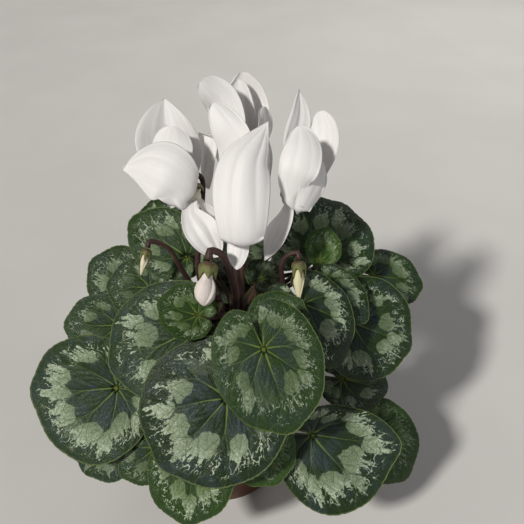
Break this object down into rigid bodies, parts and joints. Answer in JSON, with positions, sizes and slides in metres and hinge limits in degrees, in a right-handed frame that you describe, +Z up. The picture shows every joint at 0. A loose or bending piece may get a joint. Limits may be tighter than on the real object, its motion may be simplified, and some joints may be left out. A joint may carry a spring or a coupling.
{
  "type": "potted cyclamen",
  "caption": "Miniature florist's cyclamen with silver-marbled leaves, white nodding flowers and buds, growing from a tuber in a plain round nursery pot.",
  "frame": {"origin": "centre of the pot's flat underside", "axes": "+Z up along the pot's axis, the plant's front faces -Y and +X is to its right as the picture sees it"},
  "size_m": [0.1754, 0.1358, 0.1873],
  "materials": {
    "pot_plastic": "brown moulded plastic, satin",
    "peat": "dark crumbly peat, matt",
    "tuber_skin": "brown corky skin, matt",
    "stalk": "purple-brown, finely hairy, satin",
    "leaf": "deep green with a silver-green marbled band, satin",
    "petal": "white, faint lengthwise streaks, silky",
    "bud_petal": "cream, twisted, silky",
    "calyx": "green-brown, satin"
  },
  "bodies": {
    "root": {"pot": "pot_plastic", "soil": "peat", "tuber": "tuber_skin", "stalks": "stalk", "leaf_01": "leaf", "leaf_02": "leaf", "leaf_03": "leaf", "leaf_04": "leaf", "leaf_05": "leaf", "leaf_06": "leaf", "leaf_07": "leaf", "leaf_08": "leaf", "leaf_09": "leaf", "leaf_10": "leaf", "leaf_11": "leaf", "leaf_12": "leaf", "leaf_13": "leaf", "leaf_14": "leaf", "leaf_15": "leaf", "leaf_16": "leaf", "leaf_17": "leaf", "leaf_18": "leaf", "leaf_19": "leaf", "leaf_20": "leaf", "leaf_21": "leaf", "leaf_22": "leaf", "leaf_23": "leaf", "leaf_24": "leaf", "leaf_25": "leaf", "leaf_26": "leaf", "leaf_27": "leaf", "leaf_28": "leaf", "leaf_29": "leaf", "leaf_30": "leaf", "leaf_31": "leaf", "bloom_left": "petal", "bloom_front": "petal", "bloom_back": "petal", "bloom_right": "petal", "bud_1": "bud_petal", "bud_2": "bud_petal", "bud_3": "bud_petal", "bud_4": "bud_petal", "bloom_left_calyx": "calyx", "bloom_front_calyx": "calyx", "bloom_back_calyx": "calyx", "bloom_right_calyx": "calyx", "bud_1_calyx": "calyx", "bud_2_calyx": "calyx", "bud_3_calyx": "calyx", "bud_4_calyx": "calyx"}
  },
  "joints": []
}
